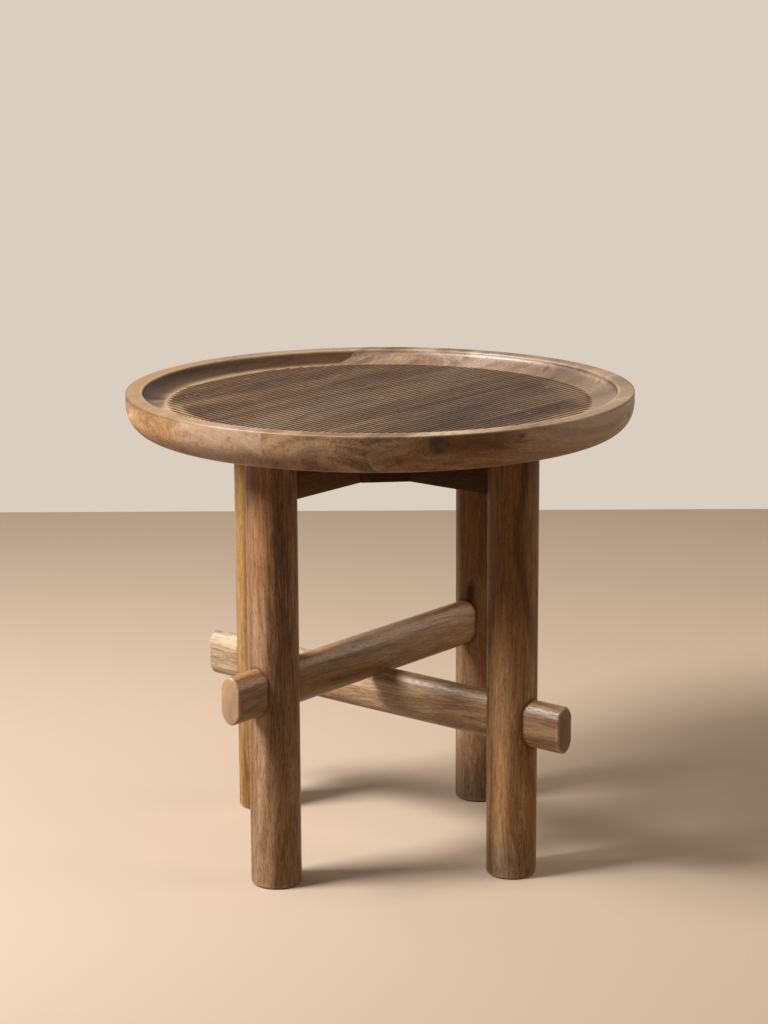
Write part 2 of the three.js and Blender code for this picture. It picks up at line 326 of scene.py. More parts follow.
leg_shades = {
    "front_left": (shade(93, 63, 37), shade(153, 116, 84), shade(190, 158, 130)),
    "front_right": (shade(84, 55, 28), shade(152, 114, 76), shade(192, 155, 118)),
    "rear_left": (shade(118, 80, 38), shade(160, 121, 72), shade(192, 154, 108)),
    "rear_right": (shade(83, 54, 30), shade(150, 112, 79), shade(190, 154, 121)),
}
for number, corner in enumerate(leg_shades):
    side_x = -1 if "left" in corner else 1
    side_y = -1 if "front" in corner else 1
    height = upper_rail_height if side_x == side_y else lower_rail_height
    heading = pi / 4 if side_x == side_y else -pi / 4
    leg = lathe([(0, 0)]
                + quarter(leg_radius - foot_ease, foot_ease, foot_ease, foot_ease, -1, 0, 6)
                + [(leg_radius, leg_top), (0, leg_top)], leg_sides)
    bmesh.ops.recalc_face_normals(leg, faces=leg.faces)
    mortise = rail_bar(4 * leg_radius, 0, swell=slack)
    bmesh.ops.translate(mortise, verts=mortise.verts, vec=(0, 0, height))
    bmesh.ops.rotate(mortise, verts=mortise.verts, matrix=Matrix.Rotation(heading, 3, "Z"))
    leg = carve(leg, mortise)
    place = Vector((side_x * leg_spread, side_y * leg_spread, 0))
    bmesh.ops.translate(leg, verts=leg.verts, vec=place)
    post_knots = {
        "rear_right": [((place.x - 12 * mm, place.y - 22 * mm, 231 * mm), 8 * mm, 0.95, 24 * mm)],
        "front_right": [((place.x + 6 * mm, place.y - 25 * mm, 62 * mm), 5 * mm, 0.35, 20 * mm)],
    }.get(corner, [])

    def foot_rub(g):
        """The eased foot is scuffed."""
        return g.band(g.split(g.place)[2], foot_ease * 2, 0.0)

    def leg_finish(g, colour):
        """Grime and painted contact shade lie in the corner round the rail.

        Painted shade darkens the right-hand legs towards the top, under the tray.
        """
        x, y, up = g.split(g.place)
        if side_x > 0:
            # Painted shade: the right-hand legs are darkened towards the top, where the tray
            # shades them.
            colour = g.tint(g.band(up, 170 * mm, 330 * mm), colour, (0.65, 0.51, 0.29))
            grey_foot = g.where((up, 75 * mm, 15 * mm),
                                (g.noise(g.along, (30, 80, 80), 43.0), 0.38, 0.54))
            colour = g.tint(grey_foot, colour, (0.72, 0.86, 1.10))
        if corner == "front_right":
            line = g.band(up, 410 * mm, 360 * mm, place.x + 7 * mm, place.x)
            line = g.math("ADD", line, g.band(up, 350 * mm, 240 * mm, 0.0, 16 * mm))
            waver = g.noise(g.along, (30, 30, 30), 31.0)
            line = g.math("ADD", line, g.math("MULTIPLY_ADD", waver, 8 * mm, -4 * mm))
            dark_vein = g.where((g.off(x, line), 6 * mm, 1 * mm),
                                (y, place.y + 5 * mm, place.y - 8 * mm),
                                (up, 190 * mm, 270 * mm), 0.8)
            colour = g.tint(dark_vein, colour, (0.30, 0.26, 0.22))
            # Painted shade on the front right leg's lower right side, which faces away from the
            # lamp.
            shaded_right_side = g.where((x, place.x + 6 * mm, place.x + 22 * mm),
                                 (up, 190 * mm, 120 * mm))
            colour = g.tint(shaded_right_side, colour, (0.78, 0.70, 0.52))
        if corner == "front_left":
            # Painted light: the upper right side of the front left leg is paled for light bounced
            # into its shade.
            bounce_lit_edge = g.where((x, place.x + 2 * mm, place.x + 20 * mm),
                                (up, 190 * mm, 300 * mm))
            colour = g.tint(bounce_lit_edge, colour, (1.45, 1.5, 1.5))
        # Grime and painted contact shade darken the leg in a ring round the rail.
        aside = g.vector("DOT_PRODUCT", g.place, (-sin(heading), cos(heading), 0))
        gap = bar_reach(g, aside, g.math("SUBTRACT", up, height))
        grime_and_contact_shade = g.where((gap, rail_thick / 2 + 3.5 * mm, rail_thick / 2 + slack), 0.7)
        return g.tint(grime_and_contact_shade, colour, (0.48, 0.38, 0.28))

    timber = wood("leg_wood_" + corner, (place.x, place.y, 0.2), (0, -pi / 2, 0),
                  17.3 + 6.1 * number, leg_shades[corner], pith=(0.062, 0.030), streaks=0.3,
                  knots=post_knots, finish=leg_finish, edge_wear_and_highlight=foot_rub, sheen=0.25)
    fit_piece(leg, "post_" + corner, "leg_" + corner, timber)


# Rails. Two long bars shaped to a pill section, driven through the legs and left standing
# proud as through tenons with eased ends. The upper one is hollowed underneath to sit astride
# the lower one where they cross.
rail_length, rail_end_ease = 460.35 * mm, 2 * mm


def end_rub(g):
    """Handling wears the arris round each sawn end."""
    along, aside, up = g.split(g.along)
    return g.where((bar_reach(g, aside, up), rail_thick / 2 - 4 * mm, rail_thick / 2 - 1.5 * mm),
                   (g.math("ABSOLUTE", along), rail_length / 2 - 4 * mm,
                    rail_length / 2 - 0.5 * mm))


def rail_finish(g, colour, left_tint, right_tint):
    """Tints the wood towards its ends, the sawn ends themselves, and the corners at the legs.

    The sawn ends carry painted light on the left and painted shade on the right, and the
    corners grime and painted contact shade.
    """
    along, aside = g.split(g.along)[0:2]
    colour = g.tint(g.band(along, -150 * mm, -200 * mm), colour, left_tint)
    colour = g.tint(g.band(along, 0.0, 150 * mm), colour, right_tint)
    # Painted light on the left sawn ends, which face the lamp, and painted shade on the right
    # ones.
    left_end = g.where((along, 1 * mm - rail_length / 2, 0.3 * mm - rail_length / 2), 0.6)
    right_end = g.where((along, rail_length / 2 - 1 * mm, rail_length / 2 - 0.3 * mm), 0.85)
    colour = g.mix(left_end, colour, shade(184, 150, 122))
    colour = g.mix(right_end, colour, shade(92, 58, 27))
    # Grime and painted contact shade darken the rail in a ring at each leg.
    gap = g.distance(g.off(g.math("ABSOLUTE", along), leg_spread * sqrt(2)), aside)
    grime_and_contact_shade = g.where((gap, leg_radius + 3.5 * mm, leg_radius + slack), 0.6)
    return g.tint(grime_and_contact_shade, colour, (0.52, 0.42, 0.32))


def upper_rail_finish(g, colour):
    return rail_finish(g, colour, (1.02, 0.93, 0.78), (1.02, 0.96, 0.88))


def lower_rail_finish(g, colour):
    return rail_finish(g, colour, (1.04, 1.12, 1.28), (0.99, 0.92, 0.80))


rail_shades = {
    "upper_rail": (shade(90, 62, 34), shade(148, 113, 77), shade(190, 156, 121)),
    "lower_rail": (shade(76, 52, 28), shade(150, 117, 83), shade(204, 173, 140)),
}
for name, height, heading, seed, finish in (
        ("upper_rail", upper_rail_height, pi / 4, 61.0, upper_rail_finish),
        ("lower_rail", lower_rail_height, -pi / 4, 74.5, lower_rail_finish)):
    rail = rail_bar(rail_length, rail_end_ease)
    if name == "upper_rail":
        saddle = rail_bar(3 * rail_thick, 0, swell=slack)
        bmesh.ops.rotate(saddle, verts=saddle.verts, matrix=Matrix.Rotation(pi / 2, 3, "Z"))
        bmesh.ops.translate(saddle, verts=saddle.verts,
                            vec=(0, 0, lower_rail_height - upper_rail_height))
        rail = carve(rail, saddle)
    bmesh.ops.rotate(rail, verts=rail.verts, matrix=Matrix.Rotation(heading, 3, "Z"))
    bmesh.ops.translate(rail, verts=rail.verts, vec=(0, 0, height))
    timber = wood("rail_wood_" + name, (0, 0, height), (0, 0, heading), seed, rail_shades[name],
                  pith=(0.050, 0.012), streaks=1.0, finish=finish, edge_wear_and_highlight=end_rub, rough=0.36,
                  sheen=0.65)
    fit_piece(rail, "bar_" + name, name, timber)


# Battens. Two planed bars under the tray, halved over each other where they cross and coped
# to the round legs, with stub tenons that can't be seen. The tray's screws go up through
# them from deep counterbores.
batten_thick, batten_deep, leg_reach = 24 * mm, 50 * mm, leg_spread * sqrt(2)
batten_middle, batten_ease = leg_top - batten_deep / 2, 0.7 * mm
screw_places, screw_grip = (73.29 * mm, 127.97 * mm), 24 * mm
counterbore_radius, pilot_radius = 5.5 * mm, 2.55 * mm


def slab(length, width, height, ease):
    """A planed block with eased edges."""
    bm = bmesh.new()
    bmesh.ops.create_cube(bm, size=1)
    bmesh.ops.scale(bm, verts=bm.verts, vec=(length, width, height))
    if ease:
        bmesh.ops.bevel(bm, geom=bm.edges[:], offset=ease, offset_type="OFFSET", affect="EDGES",
                        segments=2, profile=0.5, material=-1)
    return bm


def round_bar(radius, low, high, x, sides=40):
    """An upright round bar, the shape of a leg or of a drill."""
    bm = bmesh.new()
    bmesh.ops.create_cone(bm, cap_ends=True, segments=sides, radius1=radius, radius2=radius,
                          depth=high - low)
    bmesh.ops.translate(bm, verts=bm.verts, vec=(x, 0, (low + high) / 2))
    return bm


def batten_rub(g):
    """The long edges are worn a little."""
    aside, up = g.split(g.along)[1:3]
    side = g.math("SUBTRACT", batten_thick / 2, g.math("ABSOLUTE", aside))
    below = g.math("SUBTRACT", batten_deep / 2, g.math("ABSOLUTE", up))
    return g.band(g.math("ADD", side, below), 3 * mm, 0.5 * mm)


# Painted shade: the battens' shades are far darker than their wood, for the shade under the tray,
# the lower batten darkest.
batten_shades = {
    "upper_batten": (shade(66, 43, 24), shade(106, 74, 44), shade(134, 99, 64)),
    "lower_batten": (shade(36, 19, 8), shade(60, 35, 16), shade(82, 52, 28)),
}
for name, heading, lap_side, seed in (("upper_batten", pi / 4, -1, 88.0),
                                      ("lower_batten", -pi / 4, 1, 97.7)):
    cutters = []
    for end in (-1, 1):
        cutters.append(round_bar(leg_radius + slack, -batten_deep, batten_deep,
                                 end * leg_reach, sides=leg_sides))
        for x in screw_places:
            cutters.append(round_bar(counterbore_radius, -batten_deep,
                                     batten_deep / 2 - screw_grip, end * x))
            cutters.append(round_bar(pilot_radius, -batten_deep, batten_deep, end * x, sides=20))
    lap = slab(batten_thick + 2 * slack, batten_deep, batten_deep, 0)
    bmesh.ops.translate(lap, verts=lap.verts,
                        vec=(0, 0, lap_side * (batten_deep - slack) / 2))
    batten = carve(slab(2 * leg_reach, batten_thick, batten_deep, batten_ease), lap, *cutters)
    bmesh.ops.rotate(batten, verts=batten.verts, matrix=Matrix.Rotation(heading, 3, "Z"))
    bmesh.ops.translate(batten, verts=batten.verts, vec=(0, 0, batten_middle))
    timber = wood("batten_wood_" + name, (0, 0, batten_middle), (0, 0, heading), seed,
                  batten_shades[name], pith=(0.055, 0.03), edge_wear_and_highlight=batten_rub, rough=0.5, sheen=0.12)
    fit_piece(batten, "bearer_" + name, name, timber)


# Corner blocks. Four sawn triangles glued into the corners of the crossing, level with the
# battens, so that the frame can't rack.
block_leg, block_seat, block_ease = 34.6 * mm, batten_thick / 2 + slack, 0.6 * mm
# Painted shade: the blocks' shades are as dark, for the shade under the tray.
block_shades = (shade(42, 23, 9), shade(70, 42, 19), shade(94, 61, 32))
for quarter_turn, place in enumerate(("rear", "left", "front", "right")):
    block = bmesh.new()
    corners = [block.verts.new((block_seat + x, block_seat + y, 0))
               for x, y in ((0, 0), (block_leg, 0), (0, block_leg))]
    block.faces.new(corners)
    grown = bmesh.ops.extrude_face_region(block, geom=block.faces[:])["geom"]
    bmesh.ops.translate(block, verts=[v for v in grown if isinstance(v, bmesh.types.BMVert)],
                        vec=(0, 0, batten_deep))
    bmesh.ops.recalc_face_normals(block, faces=block.faces)
    bmesh.ops.bevel(block, geom=block.edges[:], offset=block_ease, offset_type="OFFSET",
                    affect="EDGES", segments=2, profile=0.5, material=-1)
    heading = pi / 4 + quarter_turn * pi / 2
    bmesh.ops.rotate(block, verts=block.verts, matrix=Matrix.Rotation(heading, 3, "Z"))
    bmesh.ops.translate(block, verts=block.verts, vec=(0, 0, leg_top - batten_deep))
    timber = wood("block_wood_" + place, (0, 0, batten_middle), (0, 0, heading + pi / 4),
                  120.0 + 5.3 * quarter_turn, block_shades, rough=0.5, sheen=0.12)
    fit_piece(block, "wedge_" + place, "corner_block_" + place, timber)


# Tray. A round top turned from edge-glued boards: flat lip, cove, flat floor and a bullnosed
# underside. The floor is fluted by a round-nosed cutter run along the grain, from cove to cove.
tray_radius, tray_top, tray_thick = 254 * mm, 474 * mm, 38 * mm
lip_width, cove_width, recess = 17 * mm, 25 * mm, 12 * mm
side_high, nose_return, lip_ease, outer_ease = 11 * mm, 23 * mm, 1.8 * mm, 1.0 * mm
flute_pitch, flute_wide, flute_deep, flute_run_out = 6.35 * mm, 4.2 * mm, 1.5 * mm, 6 * mm
lip_inner = tray_radius - lip_width
floor_radius, floor_height = lip_inner - cove_width, tray_top - recess
tray_under = tray_top - tray_thick
tray_sides, flute_sides = 216, 20


def cap_flat(bm, height):
    """Closes the round opening at one height with a single flat face."""
    rim = [e for e in bm.edges
           if e.is_boundary and all(abs(v.co.z - height) < 1e-6 for v in e.verts)]
    bmesh.ops.contextual_create(bm, geom=rim)


tray = lathe(
    [(0, tray_under)]
    + quarter(tray_radius - nose_return, tray_top - side_high, nose_return,
              tray_thick - side_high, -1, 0, 20)
    + quarter(tray_radius - outer_ease, tray_top - outer_ease, outer_ease, outer_ease, 0, 1, 6)
    + quarter(lip_inner + lip_ease, tray_top - lip_ease, lip_ease, lip_ease, 1, 2, 6)
    + quarter(floor_radius, tray_top - lip_ease, cove_width, recess - lip_ease, 0, -1, 20)[1:],
    tray_sides)
cap_flat(tray, floor_height)
bmesh.ops.recalc_face_normals(tray, faces=tray.faces)

flute_radius = (flute_wide ** 2 / 4 + flute_deep ** 2) / (2 * flute_deep)
cutter_nose = flute_radius - flute_deep
cutters = bmesh.new()
row = flute_pitch / 2
while row < floor_radius - flute_pitch:
    half = sqrt(floor_radius ** 2 - row ** 2) + flute_run_out / 2
    for side in (-1, 1):
        bar = bmesh.ops.create_cone(cutters, cap_ends=True, segments=flute_sides,
                                    radius1=flute_radius, radius2=flute_radius,
                                    depth=2 * (half - flute_run_out))
        tips = [f for f in {f for v in bar["verts"] for f in v.link_faces} if len(f.verts) > 4]
        for tip in tips:
            way = 1 if tip.calc_center_median().z > 0 else -1
            drawn = bmesh.ops.extrude_face_region(cutters, geom=[tip])["geom"]
            bmesh.ops.delete(cutters, geom=[tip], context="FACES_ONLY")
            new = [v for v in drawn if isinstance(v, bmesh.types.BMVert)]
            bmesh.ops.translate(cutters, verts=new, vec=(0, 0, way * flute_run_out))
            shrink = cutter_nose / flute_radius
            bmesh.ops.scale(cutters, verts=new, vec=(shrink, shrink, 1))
            bar["verts"] += new
        bmesh.ops.rotate(cutters, verts=bar["verts"], matrix=Matrix.Rotation(pi / 2, 3, "Y"))
        bmesh.ops.translate(cutters, verts=bar["verts"],
                            vec=(0, side * row, floor_height + cutter_nose))
    row += flute_pitch
bmesh.ops.recalc_face_normals(cutters, faces=cutters.faces)
tray = carve(tray, cutters)
bmesh.ops.rotate(tray, verts=tray.verts, matrix=Matrix.Rotation(pi / 4, 3, "Z"))


# The glue joints between the boards, from the front right to the back left, each with the
# step to the heart of the next board, and the tint of the five boards.
board_joints = ((-150 * mm, 97 * mm), (-60 * mm, 105 * mm), (60 * mm, 115 * mm),
                (171 * mm, 97 * mm))
board_tints = ((1.02, 1.07, 1.14), (0.96, 0.94, 0.92), (1.02, 1.07, 1.20), (1.06, 1.07, 1.06),
               (0.66, 0.63, 0.60))
cove_tints_and_shade = ((0.92, 0.92, 0.96), (0.87, 0.90, 1.00), (0.90, 0.93, 1.07), (0.92, 1.00, 1.28),
              (0.19, 0.13, 0.075))
lip_tints = ((1.00, 1.04, 1.14), (0.96, 1.02, 1.18), (0.64, 0.76, 0.98), (0.94, 1.04, 1.18),
             (0.95, 1.05, 1.25))
first_heart, log_step, heart_lift, grey_streak = 202 * mm, 730 * mm, 9 * mm, -102 * mm


def boards(g):
    """Moves the heart from board to board, and takes each board from another place in the log."""
    across = g.split(g.along)[1]
    number, heart = 0.0, first_heart
    for joint, step in board_joints:
        past = g.math("GREATER_THAN", across, joint)
        number = g.math("ADD", past, number)
        heart = g.math("MULTIPLY_ADD", past, -step, heart)
    return g.add("CombineXYZ", {0: g.math("MULTIPLY", number, log_step), 1: heart,
                                2: g.math("MULTIPLY", number, heart_lift)}).outputs[0]


def tray_zones(g):
    """Where a point is, and masks of the tray's floor, flutes, inside, lip and side."""
    z = SimpleNamespace()
    z.along, z.across = g.split(g.along)[0:2]
    z.x, z.y, z.high = g.split(g.place)
    z.reach = g.vector("LENGTH", g.vector("MULTIPLY", g.place, (1, 1, 0)))
    z.upper = g.band(z.high, tray_under + 2 * mm, tray_under + 8 * mm)
    z.floor = g.where((z.reach, floor_radius - 1 * mm, floor_radius - 8 * mm), z.upper)
    z.sunk = g.where((z.high, floor_height - 0.05 * mm, floor_height - 0.6 * mm), z.upper,
                     g.math("LESS_THAN", z.reach, floor_radius + 6 * mm))
    z.inside = g.where((z.reach, lip_inner - 1 * mm, lip_inner - 6 * mm), z.upper)
    z.lip = g.where((z.high, tray_top - 1.5 * mm, tray_top - 0.5 * mm),
                    (z.reach, lip_inner - 1 * mm, lip_inner + 1 * mm))
    z.side = g.where((z.high, tray_top - 0.8 * mm, tray_top - 2 * mm),
                     g.math("GREATER_THAN", z.reach, lip_inner + 2 * mm))
    z.board = 0.0
    for joint, step in board_joints:
        z.board = g.math("ADD", g.math("GREATER_THAN", z.across, joint), z.board)
    return z


def by_board(g, z, tints):
    """The tint of the board that a point is on."""
    share = 1 / len(tints)
    return g.ramp(g.math("MULTIPLY", z.board, share),
                  [(max((place - 0.5) * share, 0.0), (*tint, 1))
                   for place, tint in enumerate(tints)], "CONSTANT")


def cove_finish(g, z, colour):
    """The cove is darkest in the back left board, dark wood under painted shade.

    Painted shade also darkens its left end, and it is stained towards the right end.
    """
    # Painted shade, with the back left board's own dark colour, on the upper cove that faces away
    # from the lamp.
    cove = g.where((z.high, tray_top - 0.5 * mm, tray_top - 4 * mm), z.upper,
                   (z.reach, lip_inner + 1 * mm, lip_inner),
                   (z.reach, floor_radius, floor_radius + 12 * mm),
                   (z.along, -190 * mm, -100 * mm, 0.55, 1.0))
    colour = g.tint(cove, colour, by_board(g, z, cove_tints_and_shade))
    # Painted shade in the left end of the cove, under the lip's shadow.
    left_end = g.where(z.inside, (z.x, -175 * mm, -215 * mm))
    colour = g.tint(left_end, colour, (0.84, 0.84, 0.80))
    whole_cove = g.where(z.inside, (z.reach, floor_radius - 6 * mm, floor_radius))
    right_end = g.where(whole_cove, (z.x, 165 * mm, 210 * mm), 0.5)
    colour = g.mix(right_end, colour, shade(136, 108, 83))
    right_half = g.where(whole_cove, (z.x, 90 * mm, 150 * mm))
    return g.tint(right_half, colour, (0.80, 0.79, 0.79))


def lip_finish(g, z, colour):
    """The lip is paler at its two ends, with a dark line in the arris there.

    At the right end the paleness is partly painted sheen.
    """
    colour = g.tint(z.lip, colour, by_board(g, z, lip_tints))
    left_end = g.where(z.lip, (z.x, -100 * mm, -200 * mm, 0.0, 0.65))
    colour = g.mix(left_end, colour, shade(165, 130, 93))
    # Painted sheen: the right end of the lip is paled and evened for the bright room it reflects.
    right_end = g.where(z.lip, (z.x, 130 * mm, 200 * mm, 0.0, 0.45))
    colour = g.mix(right_end, colour, shade(176, 149, 124))
    outer_line = g.where((g.off(z.reach, tray_radius), 1.8 * mm, 0.7 * mm),
                         (z.high, tray_top - 3 * mm, tray_top - 1.5 * mm),
                         (g.math("ABSOLUTE", z.x), 180 * mm, 220 * mm), 0.7)
    colour = g.tint(outer_line, colour, (0.50, 0.40, 0.32))
    inner_line = g.where((g.off(z.reach, lip_inner), 1.4 * mm, 0.5 * mm),
                         (z.x, 195 * mm, 222 * mm), z.upper, 0.7)
    return g.tint(inner_line, colour, (0.42, 0.34, 0.30))


def side_finish(g, z, colour):
    """End grain at both ends of the boards, honey, pink, tan and red heartwood between them.

    Painted shade darkens the side low down, and painted sheen pales its right end.
    """
    end_grain = g.where(z.side, (g.math("ABSOLUTE", z.along), 185 * mm, 235 * mm))
    honey = g.where(z.side, (z.y, -40 * mm, -75 * mm), (z.x, -190 * mm, -214 * mm))
    colour = g.mix(g.where(honey, 0.45), colour, shade(174, 132, 86))
    bend = g.scaled(g.noise(g.place, (45, 45, 45), 57.0, 2.0, 0.5, True), 12 * mm)
    swirl = g.vector("SUBTRACT", g.place, swirl_knot)
    swirl = g.vector("ADD", g.vector("MULTIPLY", swirl, (0.7, 0.7, 1.5)), bend)
    swirl = g.add("CombineXYZ", {0: g.vector("DISTANCE", swirl, (6 * mm, 6 * mm, 6 * mm))})
    swirl = g.noise(swirl.outputs[0], (230, 1, 1), 58.0, 2.0)
    swirl = g.where(honey, (swirl, 0.42, 0.60), 0.6)
    colour = g.tint(swirl, colour, (0.70, 0.62, 0.46))

    no_honey = g.math("SUBTRACT", 1.0, honey)
    pink = g.where(z.side, (z.y, -140 * mm, -152 * mm), (z.x, -145 * mm, -172 * mm), no_honey, 0.5)
    colour = g.mix(pink, colour, shade(184, 155, 136))
    tan = g.where(end_grain, (z.x, -60 * mm, -110 * mm), no_honey, 0.4)
    colour = g.mix(tan, colour, shade(146, 114, 86))
    blotch = g.noise(g.place, (75, 75, 90), 51.0, 4.0, 0.7)
    dark_blotch = g.where(end_grain, (blotch, 0.52, 0.64, 0.0, 0.8))
    colour = g.tint(dark_blotch, colour, (0.68, 0.60, 0.52))
    pale_blotch = g.where(end_grain, (blotch, 0.48, 0.36, 0.0, 0.8))
    colour = g.tint(pale_blotch, colour, (1.20, 1.19, 1.16))
    speck = g.where((g.noise(g.place, (320, 320, 320), 53.0, 2.0), 0.60, 0.70), end_grain, 0.7)
    colour = g.tint(speck, colour, (0.50, 0.40, 0.32))

    red = g.where(z.side, (z.x, -45 * mm, -5 * mm), (z.x, 130 * mm, 70 * mm))
    colour = g.tint(red, colour, (0.99, 0.85, 0.65))
    # Painted shade on the lower side, where the bullnose turns under away from the lamp.
    shaded_underturn = g.where(z.side, (z.high, tray_top - 16 * mm, tray_top - 28 * mm),
                    (z.x, -70 * mm, -110 * mm, 0.3, 1.0))
    colour = g.tint(shaded_underturn, colour, (0.70, 0.66, 0.62))
    sapwood = g.where(z.side, (z.x, -92 * mm, -68 * mm), (z.x, -28 * mm, -44 * mm))
    colour = g.tint(sapwood, colour, (1.42, 1.52, 1.66))
    heartwood = g.where(z.side, (z.x, -25 * mm, 35 * mm), (z.x, 120 * mm, 82 * mm),
                        (z.high, tray_top - 25 * mm, tray_top - 14 * mm))
    colour = g.tint(heartwood, colour, (0.35, 0.26, 0.12))
    # Painted sheen: the right end of the side is paled and greyed for the bright room it reflects.
    right_end = g.where(z.side, (z.x, 100 * mm, 155 * mm), 0.5)
    return g.mix(right_end, colour, shade(168, 141, 119))


def joint_finish(g, z, colour):
    """A thin dark glue line at each joint, and a grey stain along one board."""
    for joint, step in board_joints:
        line = g.where((g.off(z.across, joint), 0.4 * mm, 0.1 * mm), 0.2)
        colour = g.mix(line, colour, shade(70, 48, 32))
    stain = g.where((g.off(z.across, grey_streak), 20 * mm, 4 * mm),
                    (g.noise(g.along, (5, 60, 60), 4.0), 0.35, 0.6), 0.6)
    return g.tint(stain, colour, (0.60, 0.64, 0.72))


def floor_finish(g, z, colour):
    """The floor is stained darker and paler where the cutter ran out.

    Painted shade darkens the flutes further, and the pale ring at the cove's foot is partly
    a painted highlight.
    """
    # A pale ring round the foot of the cove, left unstained and partly a painted highlight,
    # broadest at the left.
    ring_width = g.band(z.along, -60 * mm, -190 * mm, 3 * mm, 7 * mm)
    pale_foot_ring_and_highlight = g.where((g.off(z.reach, floor_radius), ring_width, 0.8 * mm), z.upper,
                        (z.high, floor_height + 1.5 * mm, floor_height + 0.5 * mm),
                        (z.along, 0.0, -190 * mm, 0.3, 0.8))
    colour = g.mix(pale_foot_ring_and_highlight, colour, shade(190, 156, 122))
    colour = g.tint(g.math("MAXIMUM", z.floor, z.sunk), colour, (0.58, 0.54, 0.52))
    handled = g.where((z.reach, 150 * mm, 60 * mm, 0.0, 0.9), z.floor)
    colour = g.tint(handled, colour, (0.70, 0.71, 0.71))
    back = g.where((z.along, 60 * mm, 130 * mm), (z.across, -45 * mm, -15 * mm),
                   (z.across, 90 * mm, 65 * mm), z.floor)
    colour = g.tint(back, colour, (0.76, 0.76, 0.77))
    last_board = g.where(g.math("GREATER_THAN", z.across, board_joints[-1][0]), z.floor)
    colour = g.tint(last_board, colour, (0.56, 0.49, 0.40))
    front_left = g.where((z.across, 45 * mm, 75 * mm), (z.along, -30 * mm, -70 * mm))
    front = g.math("MAXIMUM", front_left, g.band(z.across, -115 * mm, -135 * mm))
    colour = g.tint(g.where(front, z.floor), colour, (1.22, 1.20, 1.16))

    comb = g.where((z.reach, floor_radius - 16 * mm, floor_radius - 9 * mm),
                   (z.along, -130 * mm, -165 * mm))
    bare = g.where(comb, z.floor, g.math("SUBTRACT", 1.0, z.sunk))
    colour = g.mix(bare, colour, shade(206, 168, 120))
    far_end = g.where((z.reach, floor_radius - 36 * mm, floor_radius - 12 * mm),
                      (z.along, 80 * mm, 125 * mm), (z.across, -40 * mm, -100 * mm), z.floor, 0.75)
    colour = g.mix(far_end, colour, shade(160, 132, 108))
    # Painted shade in the flutes, darkest in the comb's flute ends.
    colour = g.tint(z.sunk, colour, (0.36, 0.31, 0.27))
    colour = g.tint(g.where(comb, z.sunk), colour, (0.40, 0.32, 0.24))
    fleck = g.where((g.noise(g.along, (40, 300, 300), 21.0, 1.0), 0.71, 0.76), z.floor, 0.6)
    return g.mix(fleck, colour, shade(200, 172, 140))


def tray_finish(g, colour):
    """Tints the boards, which hardly differ on the floor, and then each part of the tray."""
    z = g.zones = tray_zones(g)
    colour = g.tint(g.math("MULTIPLY_ADD", z.floor, -0.8, 1.0), colour,
                    by_board(g, z, board_tints))
    for part_finish in (cove_finish, lip_finish, side_finish, joint_finish, floor_finish):
        colour = part_finish(g, z, colour)
    return colour


def lip_wear_and_highlight(g):
    """Both arrises of the lip are rubbed pale, the outer one not at the two ends.

    The outer one's pale line is also a painted highlight.
    """
    z = g.zones
    # Painted highlight: the pale line along the outer arris, left off at the two ends.
    outer = g.where((g.off(z.reach, tray_radius - 0.5 * mm), 2 * mm, 0),
                    (g.math("ABSOLUTE", z.x), 215 * mm, 165 * mm))
    inner = g.band(g.off(z.reach, lip_inner + 1 * mm), 3 * mm, 0)
    return g.where(g.math("MAXIMUM", outer, inner),
                   (z.high, tray_top - 2.5 * mm, tray_top - 1 * mm))


def cove_shine(g):
    """The back of the cove is burnished smoother than the rest."""
    z = g.zones
    return g.where((z.reach, floor_radius - 1 * mm, floor_radius + 3 * mm),
                   (z.reach, lip_inner + 1 * mm, lip_inner - 1 * mm), z.upper,
                   (z.along, 60 * mm, 130 * mm), (z.across, 172 * mm, 160 * mm))


tray_shades = (shade(84, 58, 34), shade(150, 117, 86), shade(194, 163, 132))
swirl_knot = (-229 * mm, -108 * mm, 457 * mm)
tray_knots = [((26 * mm, -252.5 * mm, 466 * mm), 10 * mm, 0.85, 30 * mm),
              ((108 * mm, -230 * mm, 466 * mm), 3.5 * mm, 0.85, 8 * mm),
              ((192 * mm, 99 * mm, 462.5 * mm), 4 * mm, 0.9, 10 * mm),
              ((190 * mm, 132 * mm, 466 * mm), 4 * mm, 0.5, 12 * mm),
              ((229 * mm, 40 * mm, 467 * mm), 4 * mm, 0.55, 16 * mm),
              ((232 * mm, -101 * mm, 459 * mm), 4 * mm, 0.85, 10 * mm),
              (swirl_knot, 5 * mm, 0.15, 26 * mm)]
timber = wood("tray_wood", (0, 0, floor_height), (0, 0, pi / 4), 5.2, tray_shades,
              pith=(0.0, 0.085), zones=2.1, streaks=0.5, fibres=0.8, knots=tray_knots,
              stagger=boards, finish=tray_finish, edge_wear_and_highlight=lip_wear_and_highlight, shine=cove_shine, polish=0.16,
              rough=0.50, sheen=0.35, relief=0.2)
fit_piece(tray, "round_tray", "tray_top", timber)


# Tray screws. Eight steel wood screws, two in each arm of the battens, that pull the tray
# down on its frame: a pan head with a cross recess deep in its counterbore, and a thread.
screw_long, shank_radius, core_radius = 39.7 * mm, 2.25 * mm, 1.8 * mm
head_radius, head_deep, head_round = 4.5 * mm, 3 * mm, 1.6 * mm
recess_long, recess_wide, recess_deep = 4.6 * mm, 1.0 * mm, 1.7 * mm
thread_start, thread_pitch, thread_turns, thread_steps = 9 * mm, 2.0 * mm, 12, 16
thread_root, thread_half = shank_radius * 0.75, 0.5 * mm
point_long, screw_sides, cross_turn = 6 * mm, 40, pi / 7
head_seat = leg_top - screw_grip - slack

